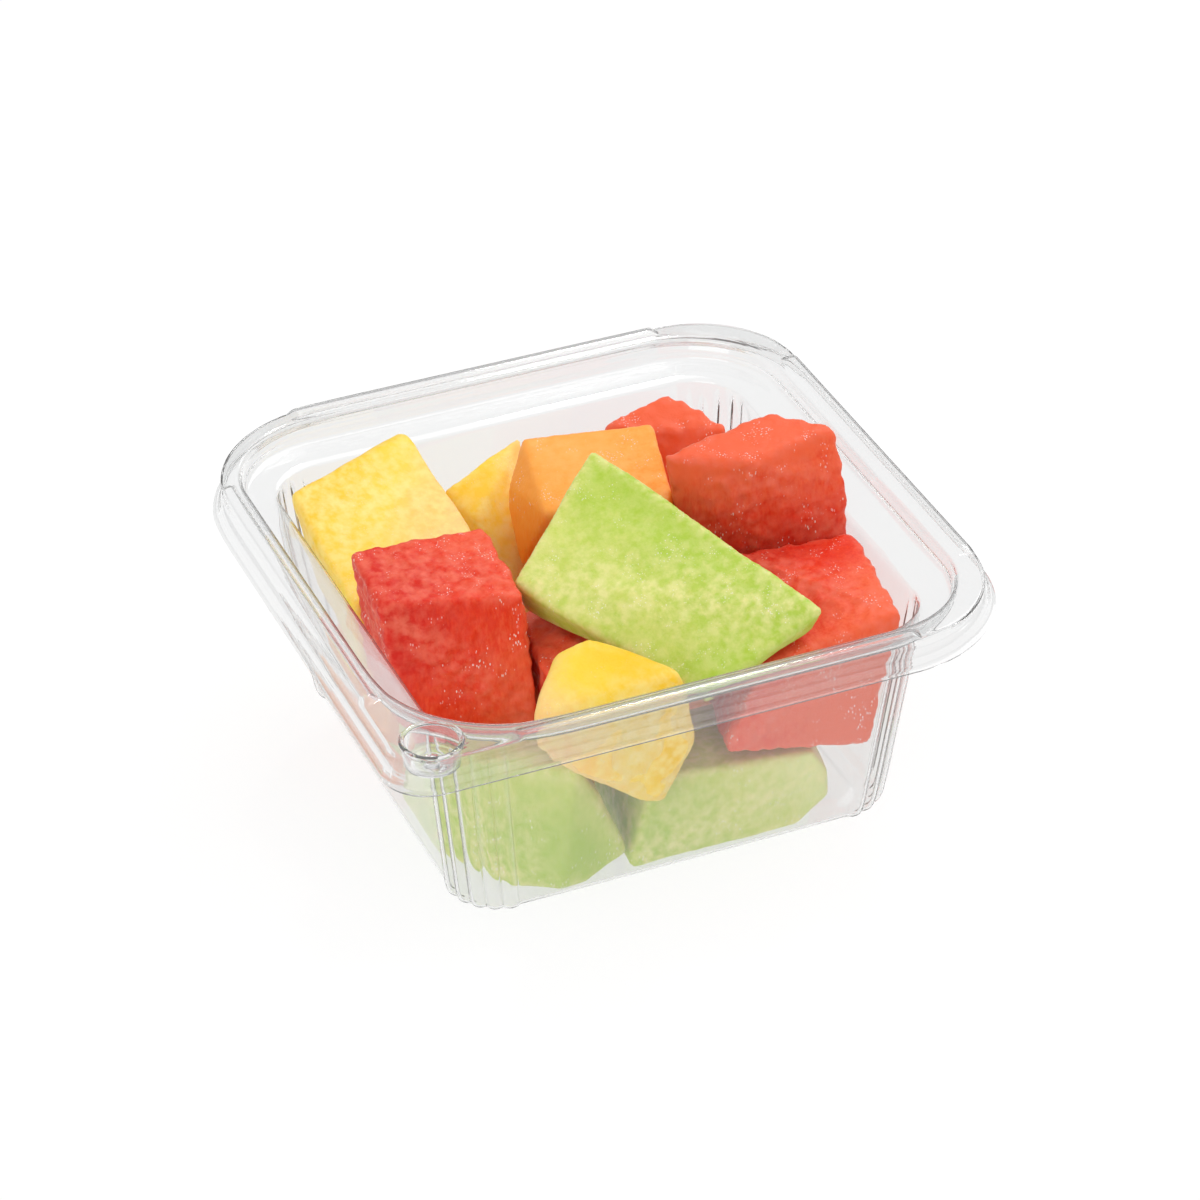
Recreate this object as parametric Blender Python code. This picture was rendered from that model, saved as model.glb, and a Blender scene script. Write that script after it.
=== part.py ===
"""Fruit cup: a square clear tub, thermoformed from thin sheet, filled with cut melon.

Units are metres and +Z is up. The origin is the middle of the tub's base on the table.
The tub's front side faces -Y. Every size below is in millimetres.
"""

import math
from collections import namedtuple

import bmesh
import bpy
import numpy as np
from mathutils import Matrix, Vector

MM = 0.001

# Tub: the sizes that drive the rest.
FLANGE_SIDE = 127.0  # square, lip to lip
FLANGE_Z = 45.7  # height of the lip
RIM_RISE = 5.5  # from the lip up to the flat top of the rim
BASE_SIDE = 87.1  # across the middle of the sheet, at the table
DRAFT = 0.114  # outward lean of the walls, mm for each mm of height
SHEET = 0.5  # thickness of the plastic
PANEL_RAISE = 0.9  # the middle of the base stands this far off the table
FOOT_LIFT = 0.2  # the foot's corners stay this far off the table
BEAD_RISE = 0.9  # the raised straight bead along each side of the rim
BEAD_END = 38.2  # where a bead stops, from the middle of its side
BEAD_RAMP = 1.2  # length of the step at each end of a bead
SIDE_POINTS = (-1.0, -0.97, -0.5, 0.0, 0.5, 0.97, 1.0)  # parts of a bead's half length
CORNER_STEPS = 20  # around each corner, a multiple of the flutes
FLUTES = 5  # rounded ribs in each corner of the body
FLUTE_DEPTH = 1.1
BODY_RADIUS = 10.0
INNER_RADIUS = 20.0  # corners of the step inside the rim
# Corner radii run from the near left corner, anticlockwise seen from above.
INNER_RADII = (26.0, INNER_RADIUS, INNER_RADIUS, INNER_RADIUS)
TOP_RADII = (9.0, 23.0, 21.0, 28.0)
LIP_RADII = (9.0, 26.0, 28.0, 33.0)

# The round cup pressed into the flat near left corner of the rim.
BUTTON_AT = (-53.5, -54.5)
BUTTON_RADIUS = 5.9
BUTTON_HOLE = 5.2
BUTTON_DEPTH = 4.4
BUTTON_DIMPLE = 1.5  # radius of the raised ring in its floor
BUTTON_STEPS = 28

# Fruit.
EDGE_ROUND = 0.8  # the cut edges are rounded this much
FLOOR_GAP = 1.5  # the lowest chunks sit this high
LOOSE_CUT = 2.2  # the buried chunks' corners are cut in by up to this much
SEED = 7

RED = (0.84, 0.24, 0.15)
ORANGE = (0.96, 0.62, 0.28)
YELLOW = (0.97, 0.82, 0.36)
GREEN = (0.76, 0.80, 0.42)
CLEAR = (0.90, 0.93, 0.93)

# Corners of a cut chunk: near left, near right, far right, far left, then any corners
# that a further cut of the knife leaves.
Chunk = namedtuple("Chunk", "name colour top bottom more", defaults=((),))

CHUNKS = (
    Chunk(
        "red_right",
        RED,
        top=((16.5, -40.5, 38.5), (44, -43, 44.5), (47.5, -15.5, 45.4), (24.5, -12, 44.5)),
        bottom=((8, -44, 24), (38, -43, 16.5), (44.5, -18.5, 17.5), (15.5, -15.5, 20.5)),
    ),
    Chunk(
        "green_front_right",
        GREEN,
        top=((-5.5, -40.5, 20), (26, -43.5, 18.5), (32.5, -18.5, 15.5), (-6, -17.5, 17)),
        bottom=((-10.5, -42, 1.5), (23.5, -42, 1.5), (27.5, -18, 1.5), (-8, -17.5, 1.5)),
        more=((29, -43.5, 13), (29.5, -42.5, 7)),
    ),
    Chunk(
        "green_front_left",
        GREEN,
        top=((-43.5, -20.5, 22.5), (-22, -43.5, 29), (-14.5, -16, 19.5), (-40.5, -2, 19)),
        bottom=((-41, -24.5, 1.5), (-10.8, -40.4, 4.6), (-13.5, -12.5, 1.5), (-41, -3.5, 1.5)),
        more=((-20, -42.3, 1.5), (-25, -42.8, 1.5), (-32.5, -38, 1.5), (-16.5, -41, 19.5)),
    ),
    Chunk(
        "yellow_front",
        YELLOW,
        top=((-27, -41, 46), (-2.5, -47.5, 46.5), (-5, -36.5, 44), (-15.5, -34, 49.5)),
        bottom=((-26, -46.5, 33), (-5, -44.5, 16.5), (-3, -38, 26), (-21.5, -32.5, 31.5)),
        more=(
            (1, -46, 31),
            (-8.5, -44.5, 18),
            (-30, -45, 44),
            (-30.5, -46, 38),
            (-21, -33.5, 47.5),
        ),
    ),
    Chunk(
        "red_front_left",
        RED,
        top=((-47, -11, 51.5), (-21, -18.3, 51), (-20.5, 4, 53), (-46.5, 5.5, 53.5)),
        bottom=((-43, -11, 22.5), (-19.8, -21, 23), (-18.5, 3.5, 25), (-44, 4, 27)),
    ),
    Chunk(
        "green_top",
        GREEN,
        top=((-20.8, -11.8, 49.7), (3.5, -45, 37.7), (28.9, -42, 49), (3.2, 7, 62.8)),
        bottom=((-17, -8, 41), (4.5, -38, 35.5), (27.5, -39.5, 43.5), (5.5, 10.5, 50.5)),
    ),
    Chunk(
        "orange_back_middle",
        ORANGE,
        top=((-5, 10.5, 48), (17.5, 1.5, 49), (24, 26.5, 52), (-1, 31.5, 52)),
        bottom=((-7, 19, 31.5), (21.5, 3, 28), (27, 27.5, 30.5), (3, 31.5, 30.5)),
        more=((-6, 27, 45), (-6.5, 26, 41), (22, 18.5, 50.5)),
    ),
    Chunk(
        "red_far_back",
        RED,
        top=((28, 34, 44.7), (41, 28.5, 45.2), (34, 42, 47.9), (19.5, 40, 45.2)),
        bottom=((22.5, 26.5, 22.5), (41.5, 22, 22), (42.5, 39.5, 23), (25.5, 43.5, 23)),
        more=((38, 36, 46.7),),
    ),
    Chunk(
        "red_back_right",
        RED,
        top=((29, -8, 61.5), (47.5, -6, 63.5), (38, 3.5, 63.5), (15.5, 1, 61)),
        bottom=((30, -9, 36), (46.5, -12.5, 37), (45, 11, 37.5), (24, 11.5, 38)),
        more=((47.5, -11.5, 53.5), (47.6, -12.8, 42.5), (18, -4, 41)),
    ),
    Chunk(
        "yellow_back_middle",
        YELLOW,
        top=((-12.5, 29.5, 37.5), (-4.5, 30, 35.5), (3, 43, 46.2), (-15.5, 37.5, 41)),
        bottom=((-14.5, 14.5, 19), (-4, 15.5, 19), (-2.5, 39.5, 21), (-15.5, 35.5, 21)),
        more=((-8.5, 26, 29),),
    ),
    Chunk(
        "yellow_back_left",
        YELLOW,
        top=((-46.5, 5.3, 41), (-17, 17.5, 42), (-20, 44.5, 50.5), (-48.2, 33.5, 50.3)),
        bottom=((-43.5, 10, 22.5), (-19, 17, 22), (-16.5, 42, 25.5), (-41.5, 38, 24.5)),
        more=((-20.5, 47.5, 49.4), (-48, 31, 49.3)),
    ),
    Chunk(
        "red_middle",
        RED,
        top=((-19, -23, 36), (-8, -23, 37), (8, -6, 38), (-17, -4.5, 38)),
        bottom=((-18.5, -23, 24), (4, -26.5, 20), (8, -7.5, 18.5), (-16, -6, 19)),
    ),
)

# Chunks that lie on the base behind the ones in front: name, colour, and the block that
# each is cut from, as (left, right), (near, far) and its top.
LOW_CHUNKS = (
    ("orange_low_left", ORANGE, (-42.5, -18), (1, 31), 21.5),
    ("yellow_low_middle", YELLOW, (-11, 12), (-16.5, 8.5), 17),
    ("orange_low_right", ORANGE, (17, 42), (-14, 9.5), 27),
    ("green_low_back_right", GREEN, (13.5, 39.5), (12, 38.5), 21),
    ("red_low_back", RED, (-15, 11), (12.5, 41), 18),
)


def clear_scene():
    for old in list(bpy.data.objects):
        bpy.data.objects.remove(old, do_unlink=True)


def material(name, colour, roughness, transmission=0.0):
    made = bpy.data.materials.new(name)
    made.use_nodes = True
    shader = made.node_tree.nodes["Principled BSDF"]
    linear = [channel**2.2 for channel in colour]
    shader.inputs["Base Color"].default_value = (*linear, 1.0)
    shader.inputs["Roughness"].default_value = roughness
    shader.inputs["Metallic"].default_value = 0.0
    shader.inputs["Transmission Weight"].default_value = transmission
    made.diffuse_color = (*linear, 1.0)
    return made


def add_object(name, bm, surface, at=(0.0, 0.0, 0.0)):
    """Makes an object of the mesh, which is in place, with its origin moved to at."""
    mesh = bpy.data.meshes.new(name)
    bmesh.ops.recalc_face_normals(bm, faces=bm.faces)
    bmesh.ops.translate(bm, verts=bm.verts, vec=-Vector(at))
    bm.to_mesh(mesh)
    bm.free()
    mesh.shade_smooth()
    mesh.set_sharp_from_angle(angle=math.radians(35))
    made = bpy.data.objects.new(name, mesh)
    made.location = at
    made.data.materials.append(surface)
    bpy.context.scene.collection.objects.link(made)
    return made


# The tub's sheet is a stack of loops with the same points, from the base out to the lip.
Loop = namedtuple(
    "Loop", "half z radii flutes bead straight lift", defaults=(0.0, 0.0, False, 0.0)
)


def body_loop(z, flutes):
    """A loop of the leaning wall."""
    radius = BODY_RADIUS + z / FLANGE_Z
    return Loop(BASE_SIDE / 2 + DRAFT * z, z, (radius,) * 4, flutes)


def tub_loops():
    foot = SHEET / 2
    base_half = BASE_SIDE / 2
    lip = FLANGE_SIDE / 2 - SHEET / 2
    top = FLANGE_Z + RIM_RISE
    wall_top = body_loop(FLANGE_Z - 0.7, 0.0)
    shelf = wall_top.half + 0.6
    corner = (BODY_RADIUS,) * 4
    yield Loop(base_half - 24.0, PANEL_RAISE, (BODY_RADIUS / 2,) * 4)
    yield Loop(base_half - 5.6, PANEL_RAISE, (BODY_RADIUS - 4.5,) * 4)
    yield Loop(base_half - 4.1, foot, (BODY_RADIUS - 3.5,) * 4, lift=FOOT_LIFT)
    yield Loop(base_half - 1.3, foot, (BODY_RADIUS - 1.3,) * 4, flutes=0.5, lift=FOOT_LIFT)
    yield Loop(base_half, 1.6, corner, flutes=0.8)
    yield body_loop(4.0, 1.0)
    yield body_loop(39.0, 1.0)
    yield body_loop(42.5, 0.45)
    yield wall_top
    yield Loop(shelf, FLANGE_Z, (BODY_RADIUS + 2.0,) * 4)
    yield Loop(lip - 8.0, FLANGE_Z + 0.5, INNER_RADII, straight=True)
    yield Loop(lip - 7.3, FLANGE_Z + 1.3, INNER_RADII, straight=True)
    yield Loop(lip - 7.1, top - 0.6, INNER_RADII, straight=True)
    yield Loop(lip - 6.7, top, INNER_RADII, straight=True)
    yield Loop(lip - 5.3, top, (23.0, 18.5, 18.5, 22.0), straight=True)
    yield Loop(lip - 4.8, top, (22.0, 19.0, 19.0, 23.0), bead=1.0, straight=True)
    yield Loop(lip - 3.1, top, (12.0, 21.0, 20.0, 26.0), bead=1.0, straight=True)
    yield Loop(lip - 2.4, top - 0.2, TOP_RADII, straight=True)
    yield Loop(lip - 1.5, top - 2.6, LIP_RADII, straight=True)
    yield Loop(lip - 0.8, FLANGE_Z + 0.7, LIP_RADII, straight=True)
    yield Loop(lip, FLANGE_Z + 0.2, LIP_RADII, straight=True)


def side_reach(loop, radius):
    """How far from the middle of its side the straight run of points goes."""
    tangent = loop.half - radius
    return BEAD_END + BEAD_RAMP if loop.straight else tangent


def setback(loop, radius, along):
    """How far a rounded corner has pulled in from the side, at a place along it."""
    past = abs(along) - (loop.half - radius)
    if past <= 0.0:
        return 0.0
    return radius - math.sqrt(radius**2 - past**2)


def loop_points(loop):
    """The loop's points, anticlockwise from the left end of the near side."""
    points = []
    for side in range(4):
        turn = Matrix.Rotation(math.radians(90 * side), 3, "Z")
        for part in SIDE_POINTS:
            radius = loop.radii[side if part < 0 else (side + 1) % 4]
            along = part * side_reach(loop, radius)
            raised = BEAD_RISE * loop.bead if abs(part) < 0.99 else 0.0
            raised += loop.lift if abs(part) > 0.9 else 0.0
            out = loop.half - setback(loop, radius, along)
            points.append(turn @ Vector((along, -out, loop.z + raised)))
        radius = loop.radii[(side + 1) % 4]
        centre = loop.half - radius
        past = max(0.0, side_reach(loop, radius) - centre)
        first = math.asin(past / radius)
        for step in range(1, CORNER_STEPS):
            share = step / CORNER_STEPS
            angle = first + (math.pi / 2 - 2 * first) * share
            rib = FLUTE_DEPTH * loop.flutes * abs(math.sin(FLUTES * math.pi * share))
            reach = radius + rib
            x = centre + reach * math.sin(angle)
            y = -centre - reach * math.cos(angle)
            points.append(turn @ Vector((x, y, loop.z + loop.lift)))
    return points


def spun(profile, steps, at):
    """A closed solid spun about a vertical axis from (radius, height) points."""
    bm = bmesh.new()
    rings = []
    for radius, height in profile:
        count = 1 if radius == 0.0 else steps
        ring = []
        for step in range(count):
            angle = 2 * math.pi * step / count
            x = at[0] + radius * math.cos(angle)
            y = at[1] + radius * math.sin(angle)
            ring.append(bm.verts.new(Vector((x, y, height)) * MM))
        rings.append(ring)
    for lower, upper in zip(rings, rings[1:]):
        for step in range(steps):
            after = (step + 1) % steps
            corners = [lower[step % len(lower)], lower[after % len(lower)]]
            corners += [upper[after % len(upper)], upper[step % len(upper)]]
            unique = list(dict.fromkeys(corners))
            bm.faces.new(unique)
    return bm


def button_profile():
    top = FLANGE_Z + RIM_RISE + SHEET / 2
    floor = top - BUTTON_DEPTH
    inner = BUTTON_HOLE - SHEET / 2
    foot = inner - 0.4
    return (
        (0.0, floor - SHEET),
        (foot + SHEET, floor - SHEET),
        (BUTTON_HOLE + 0.3, top - 0.7),
        (BUTTON_RADIUS, top - SHEET + 0.1),
        (BUTTON_RADIUS, top + 0.15),
        (BUTTON_HOLE + 0.2, top + 0.35),
        (inner, top + 0.1),
        (foot, floor),
        (BUTTON_DIMPLE + 0.7, floor),
        (BUTTON_DIMPLE + 0.4, floor + 0.6),
        (BUTTON_DIMPLE - 0.4, floor + 0.6),
        (BUTTON_DIMPLE - 0.7, floor),
        (0.0, floor),
    )


def combine(target, operation, other):
    join = target.modifiers.new(operation.title(), "BOOLEAN")
    join.operation = operation
    join.solver = "EXACT"
    join.object = other
    other.hide_render = True
    other.display_type = "WIRE"


def build_tub(surface):
    bm = bmesh.new()
    rings = []
    for loop in tub_loops():
        rings.append([bm.verts.new(point * MM) for point in loop_points(loop)])
    bm.faces.new(rings[0])
    for inner, outer in zip(rings, rings[1:]):
        for step in range(len(inner)):
            after = (step + 1) % len(inner)
            bm.faces.new((inner[step], inner[after], outer[after], outer[step]))
    tub = add_object("tub", bm, surface)
    sheet = tub.modifiers.new("Sheet", "SOLIDIFY")
    sheet.thickness = SHEET * MM
    sheet.offset = 0.0
    sheet.use_even_offset = True

    top = FLANGE_Z + RIM_RISE
    low, high = top - 4 * SHEET, top + 4 * SHEET
    hole = ((0.0, low), (BUTTON_HOLE, low), (BUTTON_HOLE, high), (0.0, high))
    cutter = spun(hole, BUTTON_STEPS, BUTTON_AT)
    combine(tub, "DIFFERENCE", add_object("button_hole", cutter, surface))
    cup = spun(button_profile(), BUTTON_STEPS, BUTTON_AT)
    combine(tub, "UNION", add_object("button_cup", cup, surface))
    return tub


def hull_of(points):
    bm = bmesh.new()
    for point in points:
        bm.verts.new(point)
    found = bmesh.ops.convex_hull(bm, input=bm.verts)
    spare = [item for item in found["geom_interior"] if isinstance(item, bmesh.types.BMVert)]
    bmesh.ops.delete(bm, geom=spare, context="VERTS")
    return bm


def inset_corners(points, depth):
    """The corners of the same solid with every face moved in by depth."""
    bm = hull_of(points)
    bm.normal_update()
    moved = []
    for corner in bm.verts:
        normals = np.array([face.normal[:] for face in corner.link_faces])
        shift = np.linalg.lstsq(normals, np.full(len(normals), -depth), rcond=0.1)[0]
        moved.append(corner.co + Vector(shift))
    bm.free()
    return moved


def ball_points(radius):
    bm = bmesh.new()
    bmesh.ops.create_icosphere(bm, subdivisions=2, radius=radius)
    points = [vert.co.copy() for vert in bm.verts]
    bm.free()
    return points


def build_chunk(chunk, surface):
    """A knife-cut block: flat faces, with each edge and corner rounded."""
    corners = [Vector(point) for point in (*chunk.top, *chunk.bottom, *chunk.more)]
    ball = ball_points(EDGE_ROUND)
    centres = inset_corners(corners, EDGE_ROUND)
    bm = hull_of([(centre + offset) * MM for centre in centres for offset in ball])
    middle = sum(corners, Vector()) / len(corners)
    return add_object(chunk.name, bm, surface, at=middle * MM)


def low_chunk(row, random):
    """A block on the base, with its corners cut in unevenly."""
    name, colour, (left, right), (near, far), top = row
    middle = Vector(((left + right) / 2, (near + far) / 2, (FLOOR_GAP + top) / 2))
    quads = []
    for z in (top, FLOOR_GAP):
        quad = []
        for x, y in ((left, near), (right, near), (right, far), (left, far)):
            inward = Vector([math.copysign(1.0, m - c) for m, c in zip(middle, (x, y, z))])
            cut = inward * Vector(random.uniform(0.0, LOOSE_CUT, 3))
            if z == FLOOR_GAP:
                cut.z = 0.0
            quad.append(Vector((x, y, z)) + cut)
        quads.append(quad)
    return Chunk(name, colour, top=quads[0], bottom=quads[1])


def main():
    clear_scene()
    cup = bpy.data.objects.new("fruit_cup", None)
    bpy.context.scene.collection.objects.link(cup)
    clear = material("clear plastic", CLEAR, roughness=0.08, transmission=0.9)
    build_tub(clear).parent = cup
    random = np.random.default_rng(SEED)
    for chunk in (*CHUNKS, *(low_chunk(row, random) for row in LOW_CHUNKS)):
        build_chunk(chunk, material(chunk.name, chunk.colour, roughness=0.35)).parent = cup


main()
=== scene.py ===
"""Fruit cup: the looks of a clear square tub filled with cut melon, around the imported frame.

Units are metres unless a name ends in _MM. The tub's near side faces -Y.
"""

import math
from collections import namedtuple

import bmesh
import bpy
import numpy as np
from mathutils import Matrix, Vector, noise


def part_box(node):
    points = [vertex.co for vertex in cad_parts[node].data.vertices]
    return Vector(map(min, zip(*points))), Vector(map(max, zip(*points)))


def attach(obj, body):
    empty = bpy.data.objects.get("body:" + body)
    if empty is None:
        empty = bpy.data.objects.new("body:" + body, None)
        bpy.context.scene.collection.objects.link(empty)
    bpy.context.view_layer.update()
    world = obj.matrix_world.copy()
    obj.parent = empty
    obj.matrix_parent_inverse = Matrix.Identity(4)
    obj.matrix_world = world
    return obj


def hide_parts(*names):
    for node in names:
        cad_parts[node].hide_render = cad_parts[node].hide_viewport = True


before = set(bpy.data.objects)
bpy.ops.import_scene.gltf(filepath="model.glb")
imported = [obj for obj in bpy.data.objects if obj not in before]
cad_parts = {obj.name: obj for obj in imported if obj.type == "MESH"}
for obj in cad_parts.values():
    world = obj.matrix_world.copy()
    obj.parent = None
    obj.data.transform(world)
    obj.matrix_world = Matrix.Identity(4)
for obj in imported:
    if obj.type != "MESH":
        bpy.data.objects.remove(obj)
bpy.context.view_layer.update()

MM = 0.001

# Camera, worked out from the straight edges of the tub in the photograph.
PHOTO_PIXELS = 1200
FOCAL_PIXELS = 4508
SENSOR_MM = 36.0
CAMERA_AZIMUTH = -22.53
CAMERA_ELEVATION = 33.74
CAMERA_ROLL = -0.90
CAMERA_AT = (-0.2727, -0.6610, 0.5108)

# Light: the floor glows, as a light table does, so nothing casts a strong shadow.
FLOOR_BASE = 0.13
FLOOR_GLOW = 0.87
SKY_STRENGTH = 0.80
SKY = ((0.0, 0.16), (0.2, 0.42), (0.45, 0.92), (1.0, 1.0))  # (height, brightness)
PANELS = (  # name, place, sides and power
    ("key", (0.58, 0.15, 0.75), (1.0, 1.0), 4.3),
    ("spark", (0.32, 0.48, 0.78), (0.09, 0.09), 0.9),
    ("fill", (-0.6, -0.55, 0.35), (0.7, 0.7), 2.4),
)

# Tub: the same driving sizes as the solid.
SHEET_MM = 0.5
TUB_LOW, TUB_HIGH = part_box("tub")
BOX_SHORT_MM = 0.2  # the solid's box is this much narrower than its driving size
FLANGE_SIDE_MM = (TUB_HIGH[0] - TUB_LOW[0]) / MM + BOX_SHORT_MM
FLANGE_Z_MM = 45.7
RIM_RISE_MM = 5.5
BASE_SIDE_MM = 87.1
DRAFT = 0.114
PANEL_RAISE_MM = 0.9
FOOT_LIFT_MM = 0.2
BEAD_RISE_MM = 0.9
BEAD_END_MM = 38.2
BEAD_RAMP_MM = 1.2
FLUTES = 5
FLUTE_STEPS = 4
FLUTE_DEPTH_MM = 1.1
BODY_RADIUS_MM = 10.0
INNER_RADII = (26.0, 20.0, 20.0, 20.0)
TOP_RADII = (9.0, 23.0, 21.0, 28.0)
LIP_RADII = (9.0, 26.0, 28.0, 33.0)
BEND_MM = 0.35  # how far from a crease its rounding starts
CREASE_SHARE = 0.05  # the extra points beside a crease are this part of a rib away from it
SHARP_ANGLE = 50  # an edge that bends by more degrees than this is shaded sharp

# The tub's profile in millimetres, from the middle of its base out to the edge of its lip.
# The base and its foot: (inwards from the base's side, height, corner radius, ribs, lift).
BASE = (
    (24.0, PANEL_RAISE_MM, BODY_RADIUS_MM / 2, 0.0, 0.0),
    (5.6, PANEL_RAISE_MM, BODY_RADIUS_MM - 4.5, 0.0, 0.0),
    (4.1, SHEET_MM / 2, BODY_RADIUS_MM - 3.5, 0.0, FOOT_LIFT_MM),
    (1.3, SHEET_MM / 2, BODY_RADIUS_MM - 1.3, 0.5, FOOT_LIFT_MM),
    (0.0, 1.6, BODY_RADIUS_MM, 0.8, 0.0),
)
# The walls: (height, ribs).
WALLS = ((4.0, 1.0), (23.0, 1.0), (39.0, 1.0), (42.5, 0.45), (FLANGE_Z_MM - 0.7, 0.0))
WALL_TURN_MM = 0.6  # the flange starts this far out from the top of the walls
TURN_RADIUS_MM = BODY_RADIUS_MM + 2.0
# The step inside the rim, with the small ridge that holds a lid: (inwards from the lip's
# edge, up from the flange).
INNER_STEP = ((8.0, 0.5), (7.4, 1.1), (7.2, 1.9), (7.6, 2.5), (7.6, 3.1), (7.1, 3.7))
# The rim and its beads, then the lip with its small ledge: (inwards from the lip's edge,
# down from the top of the rim, corner radii, bead).
RIM = (
    (7.1, 0.6, INNER_RADII, 0.0),
    (6.7, 0.0, INNER_RADII, 0.0),
    (5.3, 0.0, (23.0, 18.5, 18.5, 22.0), 0.0),
    (4.8, 0.0, (22.0, 19.0, 19.0, 23.0), 1.0),
    (3.1, 0.0, (12.0, 21.0, 20.0, 26.0), 1.0),
    (2.4, 0.2, TOP_RADII, 0.0),
    (2.0, 2.0, LIP_RADII, 0.0),
    (1.2, 2.3, LIP_RADII, 0.0),
    (0.8, RIM_RISE_MM - 0.7, LIP_RADII, 0.0),
    (0.0, RIM_RISE_MM - 0.2, LIP_RADII, 0.0),
)

# The round button in the near left corner of the rim.
BUTTON_AT = (-53.5, -54.5)
BUTTON_RADIUS_MM = 5.9
BUTTON_HOLE_MM = 5.2
BUTTON_DEPTH_MM = 4.4
BUTTON_DIMPLE_MM = 1.5
BUTTON_STEPS = 64

PLASTIC_TINT = (0.895, 0.90, 0.90)
PLASTIC_CLEAR = 0.965  # the rest is haze
PLASTIC_ROUGHNESS = 0.02
PLASTIC_IOR = 1.5
LAMPLIGHT_TINT = (0.985, 0.985, 0.985)

# Fruit, in millimetres.
FLESH_VOXEL = 0.6
SWELL = 0.2  # makes up for the corners that the fine mesh rounds off
FLAT_SHARE = 0.03  # a cut face is at least this share of a chunk's surface
SAME_WAY = 0.999  # cosine between the normals of two triangles of one cut face
SAME_PLANE = 0.1  # how far apart such triangles' planes may be
WELD_WITHIN = 0.001
CHIP_REACH = 1.6  # how far from a cut edge its chips fade out
SLOPE = 0.75  # how strongly the colour changes across a chunk
PALER = 0.15  # how much paler the colour is towards the cut edges
LUMP_SIZE = 8.0
CHIP_SIZE = 2.0
FIBRE_SIZE = (0.8, 0.8, 4.0)
GRAIN_SIZE = 0.8
# Sizes of the colour's own patterns along each axis.
BLOT_SIZE = (14.0, 14.0, 14.0)
VEIN_SIZE = (0.6, 0.6, 2.0)
RAGGED_SIZE = (2.2, 2.2, 2.2)
FLECK_SIZE = (0.5, 0.5, 1.2)
CLUSTER_SIZE = (4.5, 4.5, 4.5)
POCK_SIZE = (0.5, 0.5, 1.0)
PATTERN_TURN = (0.5, 0.35, 0.2)
RIM_SHARE = 0.8  # how much of the rim's own colour shows at a cut edge
FLECK_HEIGHT = 0.9
FLECK_ROUGHNESS = 0.08
BUMP_STRENGTH = 0.5
BUMP_DEPTH = 0.15
GLOW_SHARE = 0.3  # the part of the light that spreads inside the flesh
GLOW_REACH = 2.5
GLOW_COLOUR = (1.0, 0.45, 0.25)
FLESH_SHINE = 0.15


def link(made):
    bpy.context.scene.collection.objects.link(made)
    return made


def applied(piece):
    """The piece with its modifiers made real."""
    graph = bpy.context.evaluated_depsgraph_get()
    mesh = bpy.data.meshes.new_from_object(piece.evaluated_get(graph))
    piece.modifiers.clear()
    piece.data = mesh
    return piece


# Camera, floor and light


def add_camera():
    azimuth, elevation = math.radians(CAMERA_AZIMUTH), math.radians(CAMERA_ELEVATION)
    back = Vector(
        (
            math.sin(azimuth) * math.cos(elevation),
            -math.cos(azimuth) * math.cos(elevation),
            math.sin(elevation),
        )
    )
    right = (-back).cross(Vector((0, 0, 1))).normalized()
    up = right.cross(-back)
    turned = Matrix((right, up, back)).transposed() @ Matrix.Rotation(math.radians(CAMERA_ROLL), 3, "Z")
    camera = link(bpy.data.objects.new("camera", bpy.data.cameras.new("camera")))
    camera.matrix_world = Matrix.Translation(CAMERA_AT) @ turned.to_4x4()
    camera.data.sensor_width = SENSOR_MM
    camera.data.lens = FOCAL_PIXELS / PHOTO_PIXELS * SENSOR_MM
    camera.data.clip_start = 0.01
    bpy.context.scene.camera = camera


def add_floor():
    bm = bmesh.new()
    bmesh.ops.create_grid(bm, x_segments=1, y_segments=1, size=4.0)
    mesh = bpy.data.meshes.new("floor")
    bm.to_mesh(mesh)
    bm.free()
    floor = link(bpy.data.objects.new("floor", mesh))
    paint = bpy.data.materials.new("floor")
    paint.use_nodes = True
    shader = paint.node_tree.nodes["Principled BSDF"]
    shader.inputs["Base Color"].default_value = (*(FLOOR_BASE,) * 3, 1)
    shader.inputs["Roughness"].default_value = 0.9
    shader.inputs["Specular IOR Level"].default_value = 0.0
    shader.inputs["Emission Color"].default_value = (1, 1, 1, 1)
    shader.inputs["Emission Strength"].default_value = FLOOR_GLOW
    mesh.materials.append(paint)


def add_panel(name, at, size, power):
    """A soft box that faces the tub."""
    light = bpy.data.lights.new(name, "AREA")
    light.shape = "RECTANGLE"
    light.size, light.size_y = size
    light.energy = power
    lamp = link(bpy.data.objects.new(name, light))
    lamp.location = at
    lamp.rotation_euler = Vector(at).to_track_quat("Z", "Y").to_euler()


def set_ramp(ramp, stops):
    """Gives a colour ramp these (position, colour) stops."""
    elements = ramp.color_ramp.elements
    while len(elements) < len(stops):
        elements.new(1.0)
    for element, (position, colour) in zip(elements, stops):
        element.position = position
        element.color = (*colour, 1)


def add_light():
    world = bpy.data.worlds.new("studio")
    bpy.context.scene.world = world
    world.use_nodes = True
    nodes, links = world.node_tree.nodes, world.node_tree.links
    background = nodes["Background"]
    background.inputs["Strength"].default_value = SKY_STRENGTH
    where = nodes.new("ShaderNodeTexCoord")
    split = nodes.new("ShaderNodeSeparateXYZ")
    links.new(where.outputs["Generated"], split.inputs[0])
    ramp = nodes.new("ShaderNodeValToRGB")
    links.new(split.outputs["Z"], ramp.inputs["Fac"])
    set_ramp(ramp, [(height, (value,) * 3) for height, value in SKY])
    links.new(ramp.outputs["Color"], background.inputs["Color"])
    for panel in PANELS:
        add_panel(*panel)
    bpy.context.scene.view_settings.view_transform = "Standard"


# Tub

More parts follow.
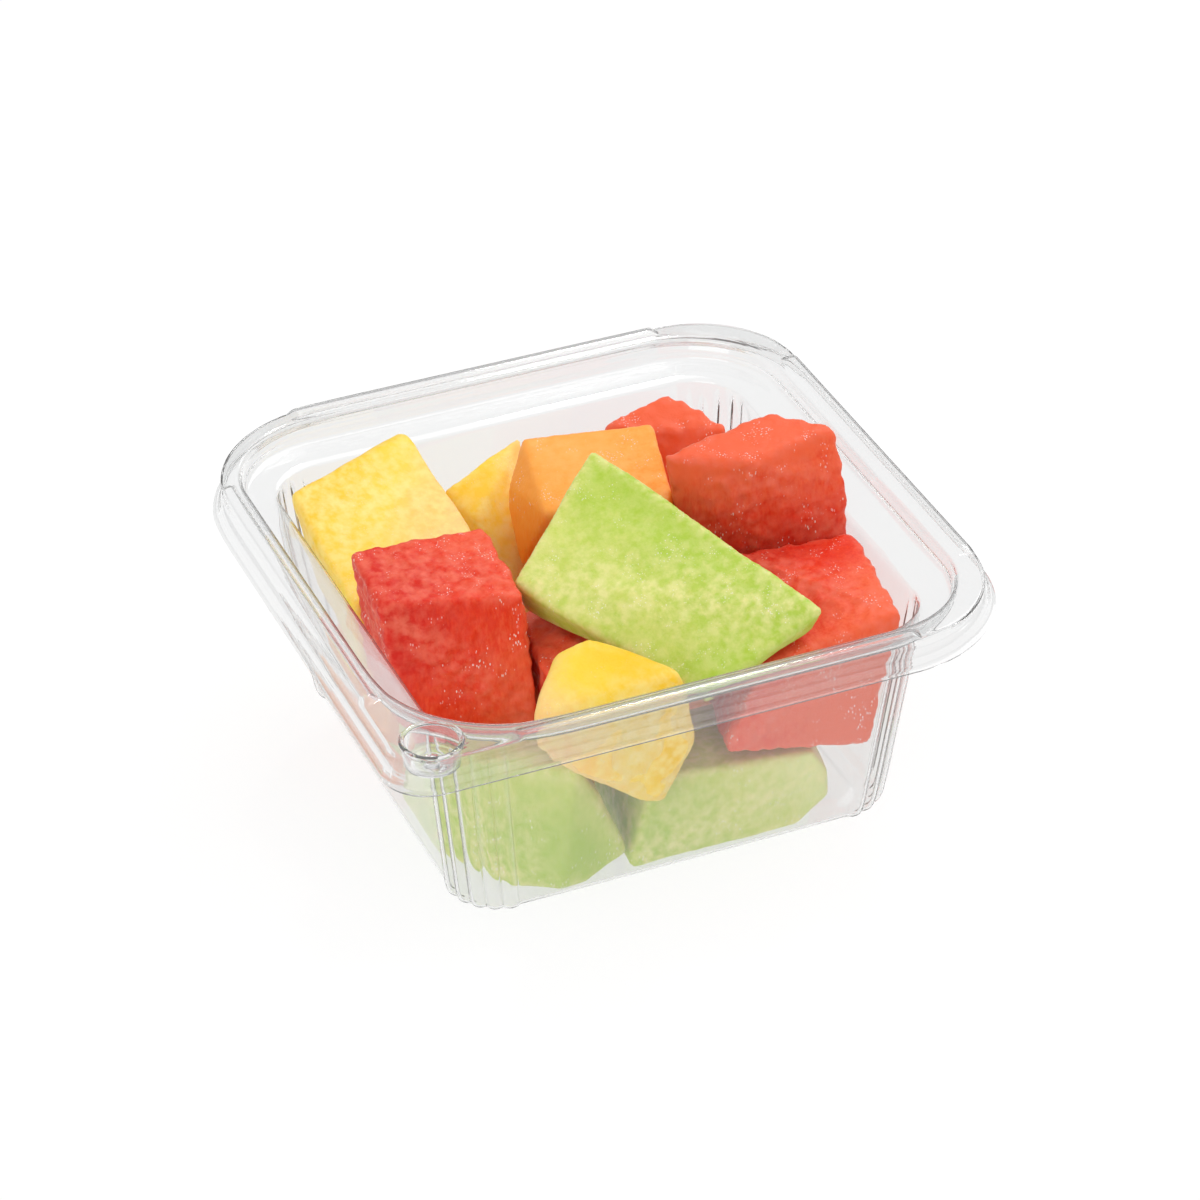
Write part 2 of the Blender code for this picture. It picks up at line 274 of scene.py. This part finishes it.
# A loop round the sheet: half its side, its height, its corner radii from the near left, how
# deep its ribs are, how far its beads stand up, whether its sides stop where the beads do,
# and how far its corners are lifted.
Loop = namedtuple("Loop", "half z radii flutes bead straight lift", defaults=(0.0, 0.0, False, 0.0))


def body_loop(z, flutes):
    radius = BODY_RADIUS_MM + z / FLANGE_Z_MM
    return Loop(BASE_SIDE_MM / 2 + DRAFT * z, z, (radius,) * 4, flutes)


def tub_loops():
    """The loops of the whole sheet, from the middle of the base out to the lip's edge."""
    lip = FLANGE_SIDE_MM / 2 - SHEET_MM / 2
    top = FLANGE_Z_MM + RIM_RISE_MM
    for inwards, z, radius, flutes, lift in BASE:
        yield Loop(BASE_SIDE_MM / 2 - inwards, z, (radius,) * 4, flutes, lift=lift)
    for z, flutes in WALLS:
        wall = body_loop(z, flutes)
        yield wall
    yield Loop(wall.half + WALL_TURN_MM, FLANGE_Z_MM, (TURN_RADIUS_MM,) * 4)
    for inwards, rise in INNER_STEP:
        yield Loop(lip - inwards, FLANGE_Z_MM + rise, INNER_RADII, straight=True)
    for inwards, drop, radii, bead in RIM:
        yield Loop(lip - inwards, top - drop, radii, bead=bead, straight=True)


def side_parts():
    """Places along a side, as parts of its half length, close together at a bead's ends."""
    ramp = BEAD_RAMP_MM / (BEAD_END_MM + BEAD_RAMP_MM)
    half = [0.0, 0.2, 0.4, 0.6, 0.8, 0.94, 1.0 - 1.6 * ramp, 1.0 - ramp, 1.0 - 0.25 * ramp, 1.0]
    return [-part for part in reversed(half[1:])] + half


def corner_shares():
    """Places round a corner, with extra ones beside each crease between the ribs."""
    close = CREASE_SHARE / FLUTES
    shares = set()
    for rib in range(FLUTES):
        for step in range(FLUTE_STEPS + 1):
            shares.add((rib + step / FLUTE_STEPS) / FLUTES)
        shares.add(rib / FLUTES + close)
        shares.add((rib + 1) / FLUTES - close)
    return sorted(round(share, 6) for share in shares if 1e-6 < share < 1 - 1e-6)


def setback(loop, radius, along):
    """How far the rounding of a corner draws the side inwards here."""
    past = abs(along) - (loop.half - radius)
    return 0.0 if past <= 0.0 else radius - math.sqrt(radius**2 - past**2)


def side_reach(loop, radius):
    """How far a side runs from its middle before its corner's points take over."""
    return BEAD_END_MM + BEAD_RAMP_MM if loop.straight else loop.half - radius


def loop_points(loop, parts, shares):
    """The loop's points, side by side with the corner that follows each side."""
    ramp_start = BEAD_END_MM / (BEAD_END_MM + BEAD_RAMP_MM)
    points = []
    for side in range(4):
        turn = Matrix.Rotation(math.radians(90 * side), 3, "Z")
        for part in parts:
            radius = loop.radii[side if part < 0 else (side + 1) % 4]
            along = part * side_reach(loop, radius)
            full = min(1.0, max(0.0, (1 - abs(part)) / (1 - ramp_start)))
            out = loop.half - setback(loop, radius, along)
            raised = BEAD_RISE_MM * loop.bead * full + (loop.lift if abs(part) > 0.9 else 0.0)
            points.append(turn @ Vector((along, -out, loop.z + raised)))
        radius = loop.radii[(side + 1) % 4]
        centre = loop.half - radius
        first = math.asin(max(0.0, side_reach(loop, radius) - centre) / radius)
        for share in shares:
            angle = first + (math.pi / 2 - 2 * first) * share
            rib = FLUTE_DEPTH_MM * loop.flutes * abs(math.sin(FLUTES * math.pi * share))
            reach = radius + rib
            x = centre + reach * math.sin(angle)
            y = -centre - reach * math.cos(angle)
            points.append(turn @ Vector((x, y, loop.z + loop.lift)))
    return points


def rounded_stack(stack):
    """The loops of points with each crease between them cut off, ready to be smoothed."""
    rounded = [stack[0]]
    for lower, upper in zip(stack, stack[1:]):
        gap = sum((b - a).length for a, b in zip(lower, upper)) / len(lower)
        near = BEND_MM / gap
        places = (near, 1 - near) if gap > 3 * BEND_MM else (0.5,)
        for place in places:
            rounded.append([a.lerp(b, place) for a, b in zip(lower, upper)])
    rounded.append(stack[-1])
    return rounded


def spun(profile, at):
    """A closed round shape from a profile of (radius, height) that starts and ends on its axis."""
    bm = bmesh.new()
    rings = []
    for radius, height in profile:
        count = 1 if radius == 0.0 else BUTTON_STEPS
        ring = []
        for step in range(count):
            angle = 2 * math.pi * step / count
            place = Vector((at[0] + radius * math.cos(angle), at[1] + radius * math.sin(angle), height))
            ring.append(bm.verts.new(place * MM))
        rings.append(ring)
    for lower, upper in zip(rings, rings[1:]):
        for step in range(BUTTON_STEPS):
            after = (step + 1) % BUTTON_STEPS
            corners = [lower[step % len(lower)], lower[after % len(lower)]]
            corners += [upper[after % len(upper)], upper[step % len(upper)]]
            bm.faces.new(list(dict.fromkeys(corners)))
    return bm


def object_of(name, bm):
    bmesh.ops.recalc_face_normals(bm, faces=bm.faces)
    mesh = bpy.data.meshes.new(name)
    bm.to_mesh(mesh)
    bm.free()
    return link(bpy.data.objects.new(name, mesh))


def button_profile():
    top = FLANGE_Z_MM + RIM_RISE_MM + SHEET_MM / 2
    floor = top - BUTTON_DEPTH_MM
    inner = BUTTON_HOLE_MM - SHEET_MM / 2
    foot = inner - 0.4
    return (
        (0.0, floor - SHEET_MM),
        (foot, floor - SHEET_MM),
        (foot + 0.9 * SHEET_MM, floor - 0.4 * SHEET_MM),
        (BUTTON_HOLE_MM + 0.3, top - 0.7),
        (BUTTON_RADIUS_MM, top - SHEET_MM + 0.1),
        (BUTTON_RADIUS_MM, top + 0.1),
        (BUTTON_RADIUS_MM - 0.25, top + 0.3),
        (BUTTON_HOLE_MM + 0.2, top + 0.35),
        (inner, top + 0.1),
        (foot + 0.1, floor + 0.4),
        (foot - 0.4, floor),
        (BUTTON_DIMPLE_MM + 0.8, floor),
        (BUTTON_DIMPLE_MM + 0.4, floor + 0.5),
        (BUTTON_DIMPLE_MM, floor + 0.65),
        (BUTTON_DIMPLE_MM - 0.4, floor + 0.5),
        (BUTTON_DIMPLE_MM - 0.8, floor),
        (0.0, floor),
    )


def combine(target, operation, other):
    join = target.modifiers.new(operation.title(), "BOOLEAN")
    join.operation = operation
    join.solver = "MANIFOLD"
    join.object = other


def build_tub(surface):
    parts, shares = side_parts(), corner_shares()
    stack = rounded_stack([loop_points(loop, parts, shares) for loop in tub_loops()])
    bm = bmesh.new()
    rings = [[bm.verts.new(point * MM) for point in points] for points in stack]
    bm.faces.new(rings[0])
    for inner, outer in zip(rings, rings[1:]):
        for step in range(len(inner)):
            after = (step + 1) % len(inner)
            bm.faces.new((inner[step], inner[after], outer[after], outer[step]))
    tub = object_of("clear_tub", bm)
    smooth = tub.modifiers.new("Smooth", "SUBSURF")
    smooth.levels = smooth.render_levels = 1
    sheet = tub.modifiers.new("Sheet", "SOLIDIFY")
    sheet.thickness = SHEET_MM * MM
    sheet.offset = 0.0
    sheet.use_even_offset = True
    top = FLANGE_Z_MM + RIM_RISE_MM
    low, high = top - 4 * SHEET_MM, top + 4 * SHEET_MM
    hole = ((0.0, low), (BUTTON_HOLE_MM, low), (BUTTON_HOLE_MM, high), (0.0, high))
    cutter = object_of("cutter", spun(hole, BUTTON_AT))
    cup = object_of("cup", spun(button_profile(), BUTTON_AT))
    combine(tub, "DIFFERENCE", cutter)
    combine(tub, "UNION", cup)
    applied(tub)
    for helper in (cutter, cup):
        bpy.data.objects.remove(helper)
    tub.data.shade_smooth()
    tub.data.set_sharp_from_angle(angle=math.radians(SHARP_ANGLE))
    tub.data.materials.clear()
    tub.data.materials.append(surface)
    return tub


def clear_plastic():
    """Clear sheet. Light on its way to the fruit goes straight through it."""
    paint = bpy.data.materials.new("clear plastic")
    paint.use_nodes = True
    nodes, links = paint.node_tree.nodes, paint.node_tree.links
    shader = nodes["Principled BSDF"]
    shader.inputs["Base Color"].default_value = (*PLASTIC_TINT, 1)
    shader.inputs["Roughness"].default_value = PLASTIC_ROUGHNESS
    shader.inputs["IOR"].default_value = PLASTIC_IOR
    shader.inputs["Transmission Weight"].default_value = PLASTIC_CLEAR
    path = nodes.new("ShaderNodeLightPath")
    clear = nodes.new("ShaderNodeBsdfTransparent")
    clear.inputs["Color"].default_value = (*LAMPLIGHT_TINT, 1)
    seen = shader.outputs["BSDF"]
    for ray in ("Is Shadow Ray", "Is Diffuse Ray"):
        mix = nodes.new("ShaderNodeMixShader")
        links.new(path.outputs[ray], mix.inputs[0])
        links.new(seen, mix.inputs[1])
        links.new(clear.outputs["BSDF"], mix.inputs[2])
        seen = mix.outputs["Shader"]
    links.new(seen, nodes["Material Output"].inputs["Surface"])
    return paint


# Fruit

# Colours from the deepest to the palest, then the rim along its cut edges. The depths are
# in millimetres: waves of the knife, chips along the edges, fibres and grain, and so is the
# width of the rim's border.
# The last field is how strongly the flecks are painted near white, as painted glints.
Melon = namedtuple(
    "Melon", "deep middle pale rim border blots veins waves chips fibres grain soften gloss flecks"
)

MELONS = {
    "red": Melon(
        deep=(0.64, 0.007, 0.002),
        middle=(0.77, 0.038, 0.008),
        pale=(0.85, 0.125, 0.045),
        rim=(0.85, 0.18, 0.11),
        border=1.3,
        blots=0.20,
        veins=0.20,
        waves=0.30,
        chips=0.75,
        fibres=0.06,
        grain=0.045,
        soften=2,
        gloss=0.40,
        flecks=0.9,
    ),
    "orange": Melon(
        deep=(0.92, 0.18, 0.006),
        middle=(0.94, 0.275, 0.016),
        pale=(0.96, 0.37, 0.06),
        rim=(0.97, 0.45, 0.12),
        border=1.6,
        blots=0.18,
        veins=0.18,
        waves=0.30,
        chips=0.14,
        fibres=0.05,
        grain=0.04,
        soften=4,
        gloss=0.40,
        flecks=0.9,
    ),
    "yellow": Melon(
        deep=(0.90, 0.54, 0.006),
        middle=(0.94, 0.64, 0.05),
        pale=(0.94, 0.56, 0.20),
        rim=(0.97, 0.77, 0.28),
        border=2.0,
        blots=0.12,
        veins=0.05,
        waves=0.40,
        chips=0.06,
        fibres=0.03,
        grain=0.01,
        soften=5,
        gloss=0.40,
        flecks=0.25,
    ),
    "green": Melon(
        deep=(0.40, 0.57, 0.05),
        middle=(0.56, 0.65, 0.12),
        pale=(0.70, 0.75, 0.30),
        rim=(0.84, 0.78, 0.36),
        border=3.0,
        blots=0.20,
        veins=0.10,
        waves=0.35,
        chips=0.08,
        fibres=0.03,
        grain=0.02,
        soften=3,
        gloss=0.38,
        flecks=0.6,
    ),
}

# How a chunk was cut: the way its colour deepens, how much deeper its colour
# is than the others', and how rounded its edges are, with the swelling that makes up for it.
# Where the deepening stands for shade, the chunk's entry says so.
Cut = namedtuple("Cut", "heart deeper softer swell", defaults=(0.0, 0, 0.0))

CUTS = {
    "red_right": Cut((-0.5, 0.8, 0.2)),
    "red_front_left": Cut((-0.8, -0.3, 0.35), 0.1),
    # Its colour deepens downwards: painted shade at its foot.
    "red_back_right": Cut((0.1, -0.2, -1.0)),
    "red_far_back": Cut((0.3, 0.2, -0.6)),
    # Its deeper colour all over is painted shade, as it lies low under other chunks.
    "red_middle": Cut((0.0, 0.0, -1.0), 0.6),
    "orange_back_middle": Cut((0.3, -0.4, -0.6)),
    "yellow_back_left": Cut((-0.7, 0.55, -0.2), 0.2),
    "yellow_back_middle": Cut((-0.6, -0.3, 0.5), -0.2),
    "yellow_front": Cut((0.9, 0.0, 0.3), 0.15, 18, 0.5),
    "green_top": Cut((0.45, 0.43, -0.9), 0.8),
    "green_front_left": Cut((-0.5, -0.3, -0.4), 0.3, 4, 0.1),
    "green_front_right": Cut((-0.6, 0.2, -0.4), 0.35),
}
BURIED = Cut((0.0, 0.0, -1.0), 0.2)


def flesh(name, melon):
    """Wet cut melon: a soft change of colour across it, fibres, flecks painted near white as painted
    glints, and a glow.
    """
    paint = bpy.data.materials.new(name)
    paint.use_nodes = True
    nodes, links = paint.node_tree.nodes, paint.node_tree.links
    shader = nodes["Principled BSDF"]
    where = nodes.new("ShaderNodeTexCoord")

    def mapped(size):
        grow = nodes.new("ShaderNodeMapping")
        grow.inputs["Scale"].default_value = [1 / (side * MM) for side in size]
        grow.inputs["Rotation"].default_value = PATTERN_TURN
        links.new(where.outputs["Object"], grow.inputs["Vector"])
        return grow.outputs["Vector"]

    def clouded(size, detail, roughness=0.55):
        made = nodes.new("ShaderNodeTexNoise")
        made.inputs["Scale"].default_value = 1.0
        made.inputs["Detail"].default_value = detail
        made.inputs["Roughness"].default_value = roughness
        links.new(mapped(size), made.inputs["Vector"])
        return made.outputs["Fac"]

    def spread(value, low, high, to_low=0.0, to_high=1.0):
        made = nodes.new("ShaderNodeMapRange")
        for place, number in enumerate((low, high, to_low, to_high), 1):
            made.inputs[place].default_value = number
        links.new(value, made.inputs[0])
        return made.outputs[0]

    def maths(operation, a, b):
        made = nodes.new("ShaderNodeMath")
        made.operation = operation
        made.use_clamp = operation == "MULTIPLY"
        for place, value in enumerate((a, b)):
            if isinstance(value, float):
                made.inputs[place].default_value = value
            else:
                links.new(value, made.inputs[place])
        return made.outputs[0]

    def stored(attribute):
        made = nodes.new("ShaderNodeAttribute")
        made.attribute_name = attribute
        return made.outputs["Fac"]

    def tinted(share, under, colour):
        made = nodes.new("ShaderNodeMix")
        made.data_type = "RGBA"
        links.new(share, made.inputs["Factor"])
        links.new(under, made.inputs["A"])
        made.inputs["B"].default_value = (*colour, 1)
        return made.outputs["Result"]

    blots = spread(clouded(BLOT_SIZE, 2), 0.3, 0.7, -melon.blots, melon.blots)
    veins = spread(clouded(VEIN_SIZE, 3), 0.3, 0.7, -melon.veins, melon.veins)
    depth = maths("ADD", maths("ADD", stored("depth"), blots), veins)
    ramp = nodes.new("ShaderNodeValToRGB")
    set_ramp(ramp, ((0.0, melon.pale), (0.5, melon.middle), (1.0, melon.deep)))
    links.new(depth, ramp.inputs["Fac"])
    ragged = spread(clouded(RAGGED_SIZE, 3), 0.35, 0.65, 0.15, 1.0)
    rim = maths("MULTIPLY", stored("edge"), maths("MULTIPLY", ragged, RIM_SHARE))
    colour = tinted(rim, ramp.outputs["Color"], melon.rim)

    # Flecks are opened cells and drops of juice, in clusters: raised and glossy, and their colour is
    # lifted near white as painted glints of light.
    cells = nodes.new("ShaderNodeTexVoronoi")
    cells.inputs["Scale"].default_value = 1.0
    cells.inputs["Randomness"].default_value = 1.0
    links.new(mapped(FLECK_SIZE), cells.inputs["Vector"])
    spots = spread(cells.outputs["Distance"], 0.30, 0.18)
    clusters = spread(clouded(CLUSTER_SIZE, 3), 0.54, 0.64)
    flecks = maths("MULTIPLY", spots, clusters)
    # Painted glints: the flecks' colour is mixed towards near white, by the melon's fleck share.
    painted_glint_share = maths("MULTIPLY", flecks, melon.flecks)
    painted_glint_colour = [0.7 + 0.3 * channel for channel in melon.rim]
    links.new(tinted(painted_glint_share, colour, painted_glint_colour), shader.inputs["Base Color"])

    grain = clouded(POCK_SIZE, 4, 0.6)
    height = maths("ADD", grain, maths("MULTIPLY", flecks, FLECK_HEIGHT))
    bump = nodes.new("ShaderNodeBump")
    bump.inputs["Strength"].default_value = BUMP_STRENGTH
    bump.inputs["Distance"].default_value = BUMP_DEPTH * MM
    links.new(height, bump.inputs["Height"])
    links.new(bump.outputs["Normal"], shader.inputs["Normal"])
    roughness = spread(flecks, 0.0, 1.0, melon.gloss, FLECK_ROUGHNESS)
    links.new(roughness, shader.inputs["Roughness"])
    shader.inputs["Subsurface Weight"].default_value = GLOW_SHARE
    shader.inputs["Subsurface Radius"].default_value = GLOW_COLOUR
    shader.inputs["Subsurface Scale"].default_value = GLOW_REACH * MM
    shader.inputs["Specular IOR Level"].default_value = FLESH_SHINE
    return paint


def cut_faces(mesh):
    """(normals, offsets) of the planes of the large flat faces, with triangles merged."""
    planes = []
    for face in sorted(mesh.polygons, key=lambda face: -face.area):
        normal, offset = np.array(face.normal), face.normal.dot(face.center)
        for plane in planes:
            if plane[0].dot(normal) > SAME_WAY and abs(plane[1] - offset) < SAME_PLANE * MM:
                plane[2] += face.area
                break
        else:
            planes.append([normal, offset, face.area])
    least = FLAT_SHARE * sum(face.area for face in mesh.polygons)
    kept = [plane for plane in planes if plane[2] > least]
    return np.array([plane[0] for plane in kept]), np.array([plane[1] for plane in kept])


def waves(places, size, seed):
    """Smooth noise from -1 to 1 at each place, with features of this size in mm."""
    sizes = np.broadcast_to(size, 3)
    scaled = places / (sizes * MM) + seed
    return np.array([noise.noise(Vector(place)) for place in scaled])


def vectors_of(rows, field):
    """The vectors that a mesh stores under this field, one in each row."""
    values = np.empty(len(rows) * 3)
    rows.foreach_get(field, values)
    return values.reshape(-1, 3)


def fine_block(node, softness):
    """The node's block as a fine even mesh, its edges rounded a little."""
    piece = link(bpy.data.objects.new(node + "_flesh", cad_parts[node].data.copy()))
    weld = piece.modifiers.new("Weld", "WELD")
    weld.merge_threshold = WELD_WITHIN * MM
    remesh = piece.modifiers.new("Fine", "REMESH")
    remesh.mode = "VOXEL"
    remesh.voxel_size = FLESH_VOXEL * MM
    soften = piece.modifiers.new("Soften", "SMOOTH")
    soften.iterations = softness
    return applied(piece)


def build_flesh(node, surface, melon, cut):
    """The node's block with the waves of a knife cut, chipped edges and a fibrous surface."""
    piece = fine_block(node, melon.soften + cut.softer)
    mesh = piece.data
    places = vectors_of(mesh.vertices, "co")
    outward = vectors_of(mesh.vertex_normals, "vector")

    normals, offsets = cut_faces(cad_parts[node].data)
    below = np.sort(offsets - places @ normals.T, axis=1)
    inside = np.maximum(below[:, 1], 0.0) / MM
    edge = np.exp(-inside / melon.border)
    chipped = np.exp(-inside / CHIP_REACH)
    # The colour deepens along the chunk's given way; red_back_right's downward way and red_middle's
    # extra depth paint shade.
    heart = Vector(cut.heart).normalized()
    along = places @ np.array(heart)
    middle, reach = (along.max() + along.min()) / 2, (along.max() - along.min()) / 2
    depth = 0.5 + cut.deeper + SLOPE * (along - middle) / reach
    depth -= PALER * np.exp(-inside / (2 * melon.border))

    shift = melon.waves * waves(places, LUMP_SIZE, 0.0) + SWELL + cut.swell
    shift += melon.chips * chipped * waves(places, CHIP_SIZE, 5.0)
    shift += melon.fibres * waves(places, FIBRE_SIZE, 9.0)
    shift += melon.grain * waves(places, GRAIN_SIZE, 3.0)
    moved = places + outward * shift[:, None] * MM
    mesh.vertices.foreach_set("co", moved.ravel())
    for name, values in (("edge", edge), ("depth", depth)):
        mesh.attributes.new(name, "FLOAT", "POINT").data.foreach_set("value", values)
    mesh.shade_smooth()
    mesh.materials.clear()
    mesh.materials.append(surface)
    mesh.update()
    return piece


def main():
    add_camera()
    add_floor()
    add_light()
    tub = build_tub(clear_plastic())
    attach(tub, "root")
    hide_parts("tub")
    surfaces = {kind: flesh(kind + " flesh", melon) for kind, melon in MELONS.items()}
    for node in sorted(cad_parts):
        if node == "tub":
            continue
        kind = node.split("_")[0]
        piece = build_flesh(node, surfaces[kind], MELONS[kind], CUTS.get(node, BURIED))
        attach(piece, "root")
        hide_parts(node)


main()
